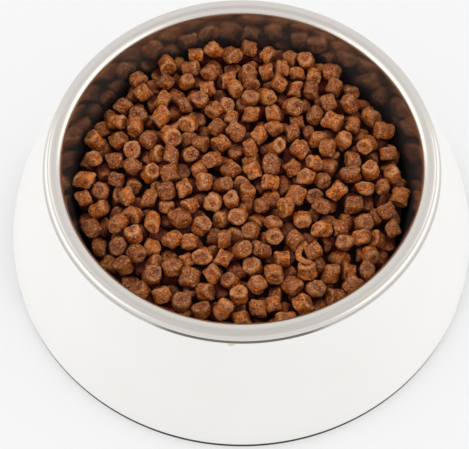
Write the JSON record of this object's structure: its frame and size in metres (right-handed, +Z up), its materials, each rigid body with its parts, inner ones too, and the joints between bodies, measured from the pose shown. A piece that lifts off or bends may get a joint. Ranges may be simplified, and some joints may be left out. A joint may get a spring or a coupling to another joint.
{
  "type": "filled pet food bowl",
  "caption": "Steel pet bowl with a rolled rim, filled with kibble, resting in a flared moulded stand with finger notches and rubber grip strips.",
  "frame": {"origin": "on the surface that the bowl stands on, under the middle of the bowl", "axes": "+Z up through the middle of the bowl, X through the two finger notches, the pictured front at -Y"},
  "size_m": [0.2164, 0.219, 0.0653],
  "materials": {
    "stand_white": "satin white moulding",
    "grip_rubber": "matt",
    "bowl_steel": "satin rim, polished inside",
    "kibble_brown": "dry baked pellets"
  },
  "bodies": {
    "root": {"stand": "stand_white", "grip_strip_front": "grip_rubber", "grip_strip_rear": "grip_rubber", "steel_bowl": "bowl_steel", "kibble_heap": "kibble_brown"}
  },
  "joints": []
}
